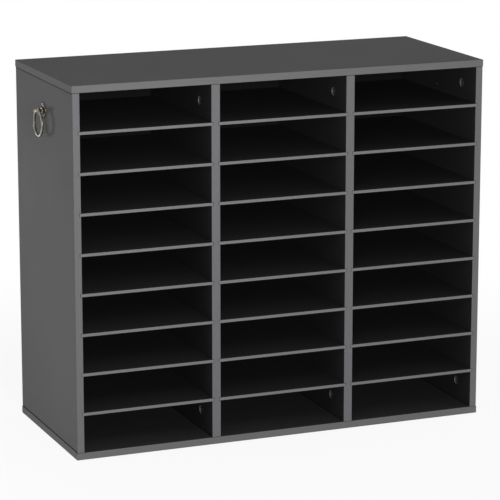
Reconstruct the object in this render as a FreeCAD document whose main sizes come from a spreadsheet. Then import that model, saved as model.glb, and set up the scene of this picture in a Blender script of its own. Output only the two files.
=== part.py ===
import FreeCAD, Part
import os
import Sketcher
from FreeCAD import Placement, Rotation, Vector

# Pigeonhole mail sorter: a carcass of laminated boards with three columns of nine letter trays,
# thin shelves that slide in grooves, cam fittings at the corners and a ring pull on each side.
#
# Frame: millimetres, +X to the right, +Y to the back, +Z up. The origin is on the floor, in the
# middle of the footprint, so the front edges lie at -case_depth / 2.

DOCUMENT = FreeCAD.newDocument("MailSorter")
SHEET = DOCUMENT.addObject("Spreadsheet::Sheet", "Dims")
PARTS_FOLDER = "parts"

COLUMNS = ("left", "middle", "right")
SHELVES_PER_COLUMN = 8

SAME_PLACE = 1e-4  # mm, the most by which two equal coordinates may differ
SMALLEST_CUT = 1e-6  # mm3, the least that a cut removes

DRIVING_DIMENSIONS = (
    # Carcass
    ("case_height", 630.0),
    ("case_depth", 305.0),
    ("bay_width", 229.0),
    ("panel_thickness", 12.0),
    ("divider_thickness", 15.0),
    ("overhang", 1.0),
    ("edge_radius", 0.6),
    # Shelves and the grooves they slide in
    ("shelf_thickness", 5.0),
    ("shelf_pitch", 67.6),
    ("shelf_end_gap", 0.7),
    ("shelf_edge_radius", 0.5),
    ("groove_depth", 3.2),
    ("groove_play_below", 0.15),
    ("groove_play_above", 0.6),
    # Back board, held in a groove all round
    ("back_thickness", 3.0),
    ("back_inset", 10.0),
    ("back_groove_depth", 5.0),
    ("back_end_gap", 0.5),
    ("back_play", 0.1),
    ("back_to_shelf", 0.5),
    # Cam fittings: bore and bolt places are measured from the front edge and from the board's end
    ("cam_inset", 55.0),
    ("cam_drop", 35.0),
    ("cam_radius", 7.4),
    ("cam_height", 9.5),
    ("cam_wall", 2.4),
    ("cam_floor", 2.3),
    ("cam_rim_width", 1.0),
    ("cam_dish_depth", 0.9),
    ("cam_play", 0.3),
    ("cam_bore_radius", 7.5),
    ("cam_bore_depth", 9.8),
    ("cam_recess_below_face", 0.2),
    ("bolt_from_face", 6.0),
    ("bolt_radius", 3.3),
    ("bolt_bore_radius", 3.5),
    ("bolt_thread_radius", 2.45),
    ("bolt_thread_length", 9.0),
    ("bolt_pilot_radius", 2.5),
    ("bolt_pilot_depth", 9.5),
    ("bolt_neck_radius", 1.8),
    ("bolt_neck_start", 26.5),
    ("bolt_head_radius", 3.2),
    ("bolt_head_start", 31.5),
    ("bolt_head_length", 3.2),
    ("dowel_inset", 87.0),
    ("dowel_radius", 3.0),
    ("dowel_bore_radius", 3.05),
    ("dowel_length", 30.0),
    ("dowel_in_board", 10.0),
    ("dowel_end_gap", 0.5),
    ("dowel_chamfer", 0.8),
    # Screws that hold the back board to the dividers
    ("back_screw_head_radius", 3.2),
    ("back_screw_head_height", 1.9),
    ("back_screw_radius", 1.5),
    ("back_screw_length", 16.0),
    ("back_screw_hole_radius", 1.55),
    ("back_screw_margin", 105.0),
    # Ring pulls
    ("pull_drop", 64.0),
    ("pull_pivot_reach", 9.5),
    ("rosette_radius", 13.0),
    ("rosette_rim_height", 1.4),
    ("rosette_rim_width", 1.2),
    ("rosette_bead_width", 2.2),
    ("rosette_bead_radius", 1.15),
    ("rosette_slope_radius", 3.2),
    ("rosette_boss_radius", 6.0),
    ("rosette_height", 3.4),
    ("rosette_bore_radius", 3.1),
    ("post_shank_radius", 3.0),
    ("post_shank_length", 8.0),
    ("post_shank_bore", 8.4),
    ("post_collar_radius", 5.0),
    ("post_collar_height", 1.4),
    ("post_collar_bulge_radius", 0.85),
    ("post_neck_radius", 3.4),
    ("post_knuckle_radius", 4.7),
    ("post_finial_radius", 3.7),
    ("post_finial_reach", 13.8),
    ("post_thread_radius", 2.0),
    ("post_thread_depth", 11.5),
    ("ring_radius", 21.5),
    ("ring_wire_radius", 2.0),
    ("ring_pin_half_length", 4.9),
    ("ring_running_gap", 0.06),
    ("pull_screw_radius", 1.95),
    ("pull_screw_length", 14.5),
    ("pull_screw_head_radius", 4.1),
    ("pull_screw_hole_radius", 2.05),
    ("pull_screw_sink_radius", 4.2),
    # Cross recesses in the cams and screws
    ("recess_width", 1.1),
    ("cam_recess_length", 6.0),
    ("cam_recess_depth", 1.6),
    ("screw_recess_length", 3.6),
    ("screw_recess_depth", 1.2),
)


class Size:
    """A length that knows its value and its expression on the sheet, so sums of it stay bound."""

    def __init__(self, value, text):
        self.value = float(value)
        self.text = text

    def __add__(self, other):
        other = as_size(other)
        return Size(self.value + other.value, f"({self.text} + {other.text})")

    def __sub__(self, other):
        other = as_size(other)
        return Size(self.value - other.value, f"({self.text} - {other.text})")

    def __mul__(self, factor):
        factor = as_size(factor)
        return Size(self.value * factor.value, f"({self.text} * {factor.text})")

    def __truediv__(self, divisor):
        divisor = as_size(divisor)
        return Size(self.value / divisor.value, f"({self.text} / {divisor.text})")

    def __neg__(self):
        return Size(-self.value, f"(0 - {self.text})")


def as_size(number):
    if isinstance(number, Size):
        return number
    return Size(number, f"{number:g}" if number >= 0 else f"(0 - {-number:g})")


def fill_sheet():
    """Write the driving dimensions and give back one Size for each, by its alias."""
    sizes = {}
    for row, (alias, value) in enumerate(DRIVING_DIMENSIONS, start=1):
        SHEET.set(f"A{row}", alias.replace("_", " "))
        SHEET.set(f"B{row}", f"{value:g}")
        SHEET.setAlias(f"B{row}", alias)
        sizes[alias] = Size(value, f"Dims.{alias}")
    DOCUMENT.recompute()
    return sizes


D = fill_sheet()

# Sizes that several pieces share
CASE_WIDTH = D["bay_width"] * 3 + D["divider_thickness"] * 2 + D["panel_thickness"] * 2
BOARD_WIDTH = CASE_WIDTH + D["overhang"] * 2
UPRIGHT_HEIGHT = D["case_height"] - D["panel_thickness"] * 2
BACK_FRONT_FACE = D["case_depth"] - D["back_inset"] - D["back_thickness"]
PULL_HEIGHT = D["case_height"] - D["pull_drop"]
BAY_PITCH = D["bay_width"] + D["divider_thickness"]
FIRST_SHELF = D["case_height"] / 2 - D["shelf_pitch"] * (SHELVES_PER_COLUMN - 1) / 2
REAR_CAM = D["case_depth"] - D["cam_inset"]
REAR_DOWEL = D["case_depth"] - D["dowel_inset"]


# --- Document helpers ---------------------------------------------------------------------------

def bind(thing, path, size):
    thing.setExpression(path, as_size(size).text)


def place(thing, x=0, y=0, z=0, rotation=None):
    """Put a piece at a bound position, turned by a fixed rotation."""
    thing.Placement = Placement(Vector(0, 0, 0), rotation or Rotation())
    for axis, size in (("x", x), ("y", y), ("z", z)):
        bind(thing, f"Placement.Base.{axis}", size)


def new_body(label):
    body = DOCUMENT.addObject("PartDesign::Body", label)
    body.Label = label
    return body


def origin_feature(body, role):
    return next(item for item in body.Origin.OriginFeatures if item.Role == role)


def sketch_on(body, name, role, offset=None):
    """A sketch on one of the body's origin planes, moved along the plane's normal by offset."""
    sketch = body.newObject("Sketcher::SketchObject", f"{body.Name}_{name}")
    sketch.AttachmentSupport = (origin_feature(body, role), [""])
    sketch.MapMode = "FlatFace"
    if offset is not None:
        bind(sketch, "AttachmentOffset.Base.z", offset)
    return sketch


def pin_point(sketch, geometry, position, x, y, tag):
    """Hold one sketch point at bound coordinates."""
    for kind, size in (("DistanceX", x), ("DistanceY", y)):
        size = as_size(size)
        index = sketch.addConstraint(Sketcher.Constraint(kind, -1, 1, geometry, position, size.value))
        sketch.renameConstraint(index, f"{tag}_{kind[-1]}")
        bind(sketch, f"Constraints.{tag}_{kind[-1]}", size)


def outline(sketch, corners):
    """A closed outline through bound corners.

    A corner is (x, y) where a straight line leaves it, or (x, y, radius) where an arc does. The
    arc bulges to the left of the way from this corner to the next, or to the right if its radius
    is wrapped in right_of().
    """
    sides = []
    for corner, following in zip(corners, corners[1:] + corners[:1]):
        sides.append(add_side(sketch, corner, following))
    for number, (x, y, *_) in enumerate(corners):
        geometry, start, _ = sides[number]
        before, _, end = sides[number - 1]
        sketch.addConstraint(Sketcher.Constraint("Coincident", before, end, geometry, start))
        pin_point(sketch, geometry, start, x, y, f"p{geometry}")


def add_side(sketch, corner, following):
    """One side of an outline: its geometry index and the ids of its start and end points."""
    start, end = (Vector(as_size(x).value, as_size(y).value, 0) for x, y, *_ in (corner, following))
    if len(corner) == 2:
        return sketch.addGeometry(Part.LineSegment(start, end), False), 1, 2
    radius, side = corner[2] if isinstance(corner[2], tuple) else (corner[2], 1)
    half = (end - start) / 2
    rise = radius.value - (radius.value**2 - half.Length**2) ** 0.5
    left = Vector(-half.y, half.x, 0).normalize()
    index = sketch.addGeometry(Part.Arc(start, start + half + left * (rise * side), end), False)
    limit = sketch.addConstraint(Sketcher.Constraint("Radius", index, radius.value))
    sketch.renameConstraint(limit, f"bend_{index}")
    bind(sketch, f"Constraints.bend_{index}", radius)
    first, second = (sketch.getPoint(index, point).distanceToPoint(start) for point in (1, 2))
    return (index, 1, 2) if first < second else (index, 2, 1)


def right_of(radius):
    return radius, -1


def rectangle(sketch, x, y, width, height):
    x, y = as_size(x), as_size(y)
    outline(sketch, [(x, y), (x + width, y), (x + width, y + height), (x, y + height)])


def circle(sketch, x, y, radius):
    x, y = as_size(x), as_size(y)
    index = sketch.addGeometry(Part.Circle(Vector(x.value, y.value, 0), Vector(0, 0, 1), radius.value), False)
    pin_point(sketch, index, 3, x, y, f"c{index}")
    rim = sketch.addConstraint(Sketcher.Constraint("Radius", index, radius.value))
    sketch.renameConstraint(rim, f"r{index}")
    bind(sketch, f"Constraints.r{index}", radius)


def pad(sketch, length, name="Blank", reverse=False, symmetric=False):
    body = sketch.getParentGeoFeatureGroup()
    feature = body.newObject("PartDesign::Pad", f"{body.Name}_{name}")
    feature.Profile = sketch
    feature.Reversed = reverse
    feature.SideType = "Symmetric" if symmetric else "One side"
    bind(feature, "Length", length)
    return finish(body, feature)


def pocket(sketch, name, depth=None, reverse=False, symmetric=False):
    """Cut the sketch into the body: to a depth, or right through where no depth is given."""
    body = sketch.getParentGeoFeatureGroup()
    before = body.Shape.Volume
    feature = body.newObject("PartDesign::Pocket", f"{body.Name}_{name}")
    feature.Profile = sketch
    feature.Reversed = reverse
    feature.SideType = "Symmetric" if symmetric else "One side"
    if depth is None:
        feature.Type = "ThroughAll"
    else:
        bind(feature, "Length", depth)
    return finish(body, feature, less_than=before)


def turn(sketch, name, kind="Revolution", angle=360):
    """Revolve a sketch, or groove it out, about its own vertical axis."""
    body = sketch.getParentGeoFeatureGroup()
    before = body.Shape.Volume if kind == "Groove" else None
    feature = body.newObject(f"PartDesign::{kind}", f"{body.Name}_{name}")
    feature.Profile = sketch
    feature.ReferenceAxis = (sketch, ["V_Axis"])
    feature.Angle = angle
    return finish(body, feature, less_than=before)


def soften(body, name, size, edge_test, kind="Fillet"):
    """Round or chamfer those edges of the body whose middle point passes the test."""
    base = body.Tip
    edges = [
        f"Edge{number}"
        for number, edge in enumerate(base.Shape.Edges, start=1)
        if edge_test(edge.valueAt((edge.FirstParameter + edge.LastParameter) / 2))
    ]
    feature = body.newObject(f"PartDesign::{kind}", f"{body.Name}_{name}")
    feature.Base = (base, edges)
    bind(feature, "Radius" if kind == "Fillet" else "Size", size)
    return finish(body, feature)


def finish(body, feature, less_than=None):
    """Recompute a new feature, make it the tip, and make sure that a cut has really cut."""
    DOCUMENT.recompute()
    body.Tip = feature
    DOCUMENT.recompute()
    if less_than is not None and not body.Shape.Volume < less_than - SMALLEST_CUT:
        raise RuntimeError(f"{feature.Name} removes nothing")
    return feature


def near(value, size):
    return abs(value - as_size(size).value) < SAME_PLACE


def cross_recess(body, face_height, length, depth, reverse=False):
    """A cross-shaped driver recess sunk into the face at this height on the body's Z axis."""
    sketch = sketch_on(body, "recess_profile", "XY_Plane", face_height)
    rectangle(sketch, -(length / 2), -(D["recess_width"] / 2), length, D["recess_width"])
    slot = pocket(sketch, "recess_slot", depth, reverse=reverse)
    cross = body.newObject("PartDesign::PolarPattern", f"{body.Name}_recess_cross")
    cross.Originals = [slot]
    cross.Axis = (origin_feature(body, "Z_Axis"), [""])
    cross.Mode = "Spacing"
    cross.Offset = 90
    cross.Occurrences = 2
    return finish(body, cross)


# --- Boards -------------------------------------------------------------------------------------

def upright_places():
    """Left edge, thickness and cam face of each upright, measured from the case's left face."""
    panel = D["panel_thickness"]
    divider = D["divider_thickness"]
    return {
        "left_side_panel": (as_size(0), panel, "right"),
        "left_divider": (panel + D["bay_width"], divider, "left"),
        "right_divider": (panel + D["bay_width"] + BAY_PITCH, divider, "left"),
        "right_side_panel": (CASE_WIDTH - panel, panel, "left"),
    }


def bolt_axis(left_edge, thickness, cam_face):
    """Where an upright's cam bolts stand, measured from the case's left face."""
    if cam_face == "left":
        return left_edge + D["bolt_from_face"]
    return left_edge + thickness - D["bolt_from_face"]


def make_flat_board(label, inner_face_up):
    """Top or bottom board: bolt, dowel and back-board seats are cut into its inner face."""
    body = new_body(label)
    rectangle_sketch = sketch_on(body, "outline", "XY_Plane")
    rectangle(rectangle_sketch, 0, 0, BOARD_WIDTH, D["case_depth"])
    pad(rectangle_sketch, D["panel_thickness"])
    soften(body, "rounded_edges", D["edge_radius"], lambda middle: not near(middle.y, D["case_depth"]))

    inner_face = D["panel_thickness"] if inner_face_up else None
    into_board = {"reverse": not inner_face_up}
    pilots = sketch_on(body, "bolt_pilots", "XY_Plane", inner_face)
    dowels = sketch_on(body, "dowel_bores", "XY_Plane", inner_face)
    for left_edge, thickness, cam_face in upright_places().values():
        bolt_x = D["overhang"] + bolt_axis(left_edge, thickness, cam_face)
        dowel_x = D["overhang"] + left_edge + thickness / 2
        for y in (D["cam_inset"], REAR_CAM):
            circle(pilots, bolt_x, y, D["bolt_pilot_radius"])
        for y in (D["dowel_inset"], REAR_DOWEL):
            circle(dowels, dowel_x, y, D["dowel_bore_radius"])
    pocket(pilots, "bolt_pilot_bores", D["bolt_pilot_depth"], **into_board)
    pocket(dowels, "dowel_bores_cut", D["dowel_in_board"] + D["dowel_end_gap"], **into_board)

    groove = sketch_on(body, "back_groove", "XY_Plane", inner_face)
    groove_start = D["overhang"] + D["panel_thickness"] - D["back_groove_depth"]
    rectangle(
        groove,
        groove_start,
        BACK_FRONT_FACE - D["back_play"],
        BOARD_WIDTH - groove_start * 2,
        D["back_thickness"] + D["back_play"] * 2,
    )
    pocket(groove, "back_groove_cut", D["back_groove_depth"], **into_board)
    height = 0 if inner_face_up else D["case_height"] - D["panel_thickness"]
    place(body, -(BOARD_WIDTH / 2), -(D["case_depth"] / 2), height)
    return body


def cut_shelf_grooves(body, face, thickness):
    """Eight grooves, all alike, open at the front edge and run through to the rear edge."""
    height = D["shelf_thickness"] + D["groove_play_below"] + D["groove_play_above"]
    lowest_shelf = FIRST_SHELF - D["shelf_thickness"] / 2 - D["panel_thickness"]
    start = as_size(0) if face == "left" else thickness - D["groove_depth"]
    sketch = sketch_on(body, f"{face}_groove", "XZ_Plane")
    rectangle(sketch, start, lowest_shelf - D["groove_play_below"], D["groove_depth"], height)
    lowest_groove = pocket(sketch, f"{face}_lowest_groove")
    rows = body.newObject("PartDesign::LinearPattern", f"{body.Name}_{face}_groove_rows")
    rows.Originals = [lowest_groove]
    rows.Direction = (origin_feature(body, "Z_Axis"), [""])
    rows.Occurrences = SHELVES_PER_COLUMN
    bind(rows, "Length", D["shelf_pitch"] * (SHELVES_PER_COLUMN - 1))
    finish(body, rows)


def cut_end_bores(body, thickness, cam_face):
    """Bores for cam bolts and dowels in both ends, and the cam bores that the bolts run into."""
    bolt_x = bolt_axis(as_size(0), thickness, cam_face)
    for end, height, reverse in (("lower", None, True), ("upper", UPRIGHT_HEIGHT, False)):
        bolts = sketch_on(body, f"{end}_bolt_bores", "XY_Plane", height)
        dowels = sketch_on(body, f"{end}_dowel_bores", "XY_Plane", height)
        for bolt_y, dowel_y in ((D["cam_inset"], D["dowel_inset"]), (REAR_CAM, REAR_DOWEL)):
            circle(bolts, bolt_x, bolt_y, D["bolt_bore_radius"])
            circle(dowels, thickness / 2, dowel_y, D["dowel_bore_radius"])
        pocket(bolts, f"{end}_bolt_bores_cut", D["cam_drop"], reverse=reverse)
        dowel_depth = D["dowel_length"] - D["dowel_in_board"] + D["dowel_end_gap"]
        pocket(dowels, f"{end}_dowel_bores_cut", dowel_depth, reverse=reverse)

    cams = sketch_on(body, "cam_bores", "YZ_Plane", thickness if cam_face == "right" else None)
    for y in (D["cam_inset"], REAR_CAM):
        for z in (D["cam_drop"], UPRIGHT_HEIGHT - D["cam_drop"]):
            circle(cams, y, z, D["cam_bore_radius"])
    pocket(cams, "cam_bores_cut", D["cam_bore_depth"], reverse=cam_face == "left")


def make_upright(label, left_edge, thickness, cam_face):
    """Side board or divider, stood between the bottom and the top board."""
    is_divider = "divider" in label
    depth = BACK_FRONT_FACE if is_divider else D["case_depth"]
    inner_faces = ("left", "right") if is_divider else (cam_face,)
    body = new_body(label)
    blank = sketch_on(body, "outline", "XY_Plane")
    rectangle(blank, 0, 0, thickness, depth)
    pad(blank, UPRIGHT_HEIGHT)
    soften(
        body,
        "rounded_front",
        D["edge_radius"],
        lambda middle: near(middle.y, 0) and near(middle.z, UPRIGHT_HEIGHT / 2),
    )
    for face in inner_faces:
        cut_shelf_grooves(body, face, thickness)
    cut_end_bores(body, thickness, cam_face)
    if is_divider:
        cut_back_screw_bores(body, thickness)
    else:
        cut_back_groove(body, thickness, cam_face)
        cut_pull_bore(body, thickness, cam_face)
    place(body, left_edge - CASE_WIDTH / 2, -(D["case_depth"] / 2), D["panel_thickness"])
    return body


def back_screw_heights():
    """Three screws on each divider, measured from the divider's lower end."""
    margin = D["back_screw_margin"]
    return (margin, UPRIGHT_HEIGHT / 2, UPRIGHT_HEIGHT - margin)


def cut_back_screw_bores(body, thickness):
    bores = sketch_on(body, "back_screw_bores", "XZ_Plane", -BACK_FRONT_FACE)
    for z in back_screw_heights():
        circle(bores, thickness / 2, z, D["back_screw_hole_radius"])
    pocket(bores, "back_screw_bores_cut", D["back_screw_length"], reverse=True)


def cut_back_groove(body, thickness, inner_face):
    """The groove that holds the back board runs the full height of a side board."""
    start = as_size(0) if inner_face == "left" else thickness - D["back_groove_depth"]
    groove = sketch_on(body, "back_groove", "XY_Plane")
    rectangle(
        groove,
        start,
        BACK_FRONT_FACE - D["back_play"],
        D["back_groove_depth"],
        D["back_thickness"] + D["back_play"] * 2,
    )
    pocket(groove, "back_groove_cut", reverse=True)


def cut_pull_bore(body, thickness, inner_face):
    """A bore for the pull's shank from outside, and a countersunk screw hole from inside."""
    outer_is_left = inner_face == "right"
    height = PULL_HEIGHT - D["panel_thickness"]
    shank = sketch_on(body, "pull_shank_bore", "YZ_Plane", None if outer_is_left else thickness)
    circle(shank, D["case_depth"] / 2, height, D["rosette_bore_radius"])
    pocket(shank, "pull_shank_bore_cut", D["post_shank_bore"], reverse=outer_is_left)

    screw = sketch_on(body, "pull_screw_hole", "YZ_Plane", thickness if outer_is_left else None)
    circle(screw, D["case_depth"] / 2, height, D["pull_screw_hole_radius"])
    DOCUMENT.recompute()
    before = body.Shape.Volume
    hole = body.newObject("PartDesign::Hole", f"{body.Name}_pull_screw_sink")
    hole.Profile = screw
    hole.Reversed = not outer_is_left
    hole.DepthType = "ThroughAll"
    DOCUMENT.recompute()
    hole.HoleCutType = "Countersink"
    hole.HoleCutCustomValues = True
    hole.HoleCutCountersinkAngle = 90
    bind(hole, "Diameter", D["pull_screw_hole_radius"] * 2)
    bind(hole, "HoleCutDiameter", D["pull_screw_sink_radius"] * 2)
    finish(body, hole, less_than=before)


def make_back_panel():
    """Hardboard back: its edges sit in the grooves, with a little room to spare at each end."""
    body = new_body("back_panel")
    reach = D["back_groove_depth"] - D["back_end_gap"]
    inner_width = CASE_WIDTH - D["panel_thickness"] * 2
    width = inner_width + reach * 2
    blank = sketch_on(body, "outline", "XZ_Plane")
    rectangle(blank, -(width / 2), -reach, width, UPRIGHT_HEIGHT + reach * 2)
    pad(blank, D["back_thickness"], reverse=True)
    bores = sketch_on(body, "screw_holes", "XZ_Plane")
    for side in (-1, 1):
        for z in back_screw_heights():
            circle(bores, BAY_PITCH * side / 2, z, D["back_screw_hole_radius"])
    pocket(bores, "screw_holes_cut")
    place(body, 0, BACK_FRONT_FACE - D["case_depth"] / 2, D["panel_thickness"])
    return body


def make_shelf(column, row):
    """Thin shelf, its long ends held in the grooves on both sides of its column."""
    body = new_body(f"shelf_{COLUMNS[column]}_{row + 1}")
    width = D["bay_width"] + (D["groove_depth"] - D["shelf_end_gap"]) * 2
    blank = sketch_on(body, "outline", "XY_Plane")
    rectangle(blank, -(width / 2), 0, width, BACK_FRONT_FACE - D["back_to_shelf"])
    pad(blank, D["shelf_thickness"])
    soften(
        body,
        "rounded_front",
        D["shelf_edge_radius"],
        lambda middle: near(middle.y, 0) and near(middle.x, 0),
    )
    height = FIRST_SHELF + D["shelf_pitch"] * row - D["shelf_thickness"] / 2
    place(body, BAY_PITCH * (column - 1), -(D["case_depth"] / 2), height)
    return body


# --- Fasteners ----------------------------------------------------------------------------------

def make_cam():
    """One cam lock, dished inside its rim: +Z out of the board's face, +X towards its bolt."""
    body = new_body("cam_lock")
    disc = sketch_on(body, "disc", "XY_Plane")
    circle(disc, 0, 0, D["cam_radius"])
    pad(disc, D["cam_height"], reverse=True)
    soften(body, "rim", D["edge_radius"], lambda middle: near(middle.z, 0), kind="Chamfer")
    dish = sketch_on(body, "dish", "XY_Plane")
    circle(dish, 0, 0, D["cam_radius"] - D["cam_rim_width"])
    pocket(dish, "dish_cut", D["cam_dish_depth"])

    hollow_radius = D["cam_radius"] - D["cam_wall"]
    bolt_level = -D["bolt_from_face"] + D["cam_recess_below_face"]
    neck_gap = D["bolt_neck_radius"] + D["cam_play"]
    head_gap = D["bolt_head_radius"] + D["cam_play"]
    hollow = sketch_on(body, "hollow", "XY_Plane", -D["cam_height"])
    circle(hollow, 0, 0, hollow_radius)
    pocket(hollow, "hollow_cut", D["cam_height"] - D["cam_floor"], reverse=True)

    neck = sketch_on(body, "neck_hole", "YZ_Plane")
    circle(neck, 0, bolt_level, neck_gap)
    pocket(neck, "neck_hole_cut", reverse=True)
    slot = sketch_on(body, "slot", "XZ_Plane")
    slot_length = D["cam_wall"] + neck_gap * 2
    rectangle(slot, hollow_radius - neck_gap, bolt_level - neck_gap, slot_length, neck_gap * 2)
    turn(slot, "slot_cut", kind="Groove", angle=90)
    mouth = sketch_on(body, "mouth", "XZ_Plane")
    mouth_top = bolt_level + D["bolt_head_radius"]
    rectangle(mouth, -head_gap, -D["cam_height"], head_gap * 2, D["cam_height"] + mouth_top)
    pocket(mouth, "mouth_cut")
    cross_recess(body, None, D["cam_recess_length"], D["cam_recess_depth"])
    return body


def make_cam_bolt():
    """One cam bolt: thread below the board's face at Z = 0, shaft, neck and head above it."""
    body = new_body("cam_bolt")
    profile = sketch_on(body, "profile", "XZ_Plane")
    tip = D["bolt_thread_radius"] / 2
    head_end = D["bolt_head_start"] + D["bolt_head_length"]
    outline(
        profile,
        [
            (0, -D["bolt_thread_length"]),
            (tip, -D["bolt_thread_length"]),
            (D["bolt_thread_radius"], -D["bolt_thread_length"] + tip),
            (D["bolt_thread_radius"], 0),
            (D["bolt_radius"], 0),
            (D["bolt_radius"], D["bolt_neck_start"]),
            (D["bolt_neck_radius"], D["bolt_neck_start"]),
            (D["bolt_neck_radius"], D["bolt_head_start"]),
            (D["bolt_head_radius"], D["bolt_head_start"]),
            (D["bolt_head_radius"], head_end - D["bolt_neck_radius"] / 2),
            (D["bolt_neck_radius"], head_end),
            (0, head_end),
        ],
    )
    turn(profile, "turned")
    return body


def make_dowel():
    """One wooden dowel, standing on its lower end at Z = -dowel_in_board."""
    body = new_body("dowel")
    end = sketch_on(body, "section", "XY_Plane", -D["dowel_in_board"])
    circle(end, 0, 0, D["dowel_radius"])
    pad(end, D["dowel_length"])
    half_way = D["dowel_length"] / 2 - D["dowel_in_board"]
    soften(body, "ends", D["dowel_chamfer"], lambda middle: not near(middle.z, half_way), kind="Chamfer")
    return body


def make_back_screw():
    """Pan-head screw: the head sits on the face at Z = 0, the point runs down."""
    body = new_body("back_screw")
    profile = sketch_on(body, "profile", "XZ_Plane")
    head = D["back_screw_head_radius"]
    height = D["back_screw_head_height"]
    shank = D["back_screw_radius"]
    outline(
        profile,
        [
            (0, height),
            (head / 2, height, head),
            (head, 0),
            (shank, 0),
            (shank, -(D["back_screw_length"] - shank * 2)),
            (0, -D["back_screw_length"]),
        ],
    )
    turn(profile, "turned")
    cross_recess(body, height, D["screw_recess_length"], D["screw_recess_depth"])
    return body


def group_of(label, piece, placements):
    """One node of identical pieces: links to the master piece, gathered in a compound."""
    links = []
    for number, (x, y, z, rotation) in enumerate(placements, start=1):
        link = DOCUMENT.addObject("App::Link", f"{label}_{number}")
        link.LinkedObject = piece
        place(link, x, y, z, rotation)
        links.append(link)
    compound = DOCUMENT.addObject("Part::Compound", label)
    compound.Label = label
    compound.Links = links
    DOCUMENT.recompute()
    return compound


def fitting_places():
    """Every corner of every upright: the case X of its bolt and dowel, end height and direction."""
    lower_end = D["panel_thickness"]
    upper_end = D["case_height"] - D["panel_thickness"]
    for left_edge, thickness, cam_face in upright_places().values():
        bolt_x = bolt_axis(left_edge, thickness, cam_face) - CASE_WIDTH / 2
        dowel_x = left_edge + thickness / 2 - CASE_WIDTH / 2
        face_x = left_edge - CASE_WIDTH / 2 + (thickness if cam_face == "right" else 0)
        for end_height, inwards in ((lower_end, 1), (upper_end, -1)):
            for bolt_y, dowel_y in ((D["cam_inset"], D["dowel_inset"]), (REAR_CAM, REAR_DOWEL)):
                yield bolt_x, dowel_x, face_x, cam_face, end_height, inwards, bolt_y, dowel_y


def make_fittings():
    """The three groups of carcass fasteners: cam locks, cam bolts and dowels."""
    half_depth = D["case_depth"] / 2
    cams = []
    bolts = []
    dowels = []
    for bolt_x, dowel_x, face_x, cam_face, end_height, inwards, bolt_y, dowel_y in fitting_places():
        out_of_face = 1 if cam_face == "right" else -1
        face = Vector(out_of_face, 0, 0)
        to_end = Vector(0, 0, -inwards)
        cam_turn = Rotation(to_end, face.cross(to_end), face, "ZXY")
        cam_x = face_x - D["cam_recess_below_face"] * out_of_face
        cams.append((cam_x, bolt_y - half_depth, end_height + D["cam_drop"] * inwards, cam_turn))
        upright_turn = Rotation() if inwards > 0 else Rotation(Vector(1, 0, 0), 180)
        bolts.append((bolt_x, bolt_y - half_depth, end_height, upright_turn))
        dowels.append((dowel_x, dowel_y - half_depth, end_height, upright_turn))
    return (
        group_of("cam_locks", make_cam(), cams),
        group_of("cam_bolts", make_cam_bolt(), bolts),
        group_of("dowels", make_dowel(), dowels),
    )


def make_back_screws():
    rear_face = D["case_depth"] / 2 - D["back_inset"]
    facing_back = Rotation(Vector(1, 0, 0), -90)
    screws = [
        (BAY_PITCH * side / 2, rear_face, D["panel_thickness"] + z, facing_back)
        for side in (-1, 1)
        for z in back_screw_heights()
    ]
    return group_of("back_panel_screws", make_back_screw(), screws)


# --- Ring pulls ---------------------------------------------------------------------------------
# Each piece of a pull is made with its axis along +Z, standing out of the side board's face at
# Z = 0, and with +X pointing down. It is then laid over on to its side of the case.

def lay_on_side(body, side):
    """Turn a pull's piece so that its Z points out of the left or right side board."""
    outwards = Vector(-1 if side == "left" else 1, 0, 0)
    down = Vector(0, 0, -1)
    rotation = Rotation(down, outwards.cross(down), outwards, "ZXY")
    place(body, CASE_WIDTH / 2 * outwards.x, 0, PULL_HEIGHT, rotation)
    return body


def make_rosette(side):
    """Turned back plate: flat rim, a round bead, a hollow slope and a boss round the post."""
    body = new_body(f"{side}_pull_rosette")
    profile = sketch_on(body, "profile", "XZ_Plane")
    rim = D["rosette_radius"]
    edge = D["rosette_rim_height"]
    bead_outside = rim - D["rosette_rim_width"]
    bead_inside = bead_outside - D["rosette_bead_width"]
    boss = D["rosette_boss_radius"]
    height = D["rosette_height"]
    corner = D["edge_radius"]
    outline(
        profile,
        [
            (D["rosette_bore_radius"], 0),
            (rim, 0),
            (rim, edge - corner, right_of(corner)),
            (rim - corner, edge),
            (bead_outside, edge, right_of(D["rosette_bead_radius"])),
            (bead_inside, edge, D["rosette_slope_radius"]),
            (boss, height - corner, right_of(corner)),
            (boss - corner, height),
            (D["rosette_bore_radius"], height),
        ],
    )
    turn(profile, "turned")
    return lay_on_side(body, side)


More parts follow.
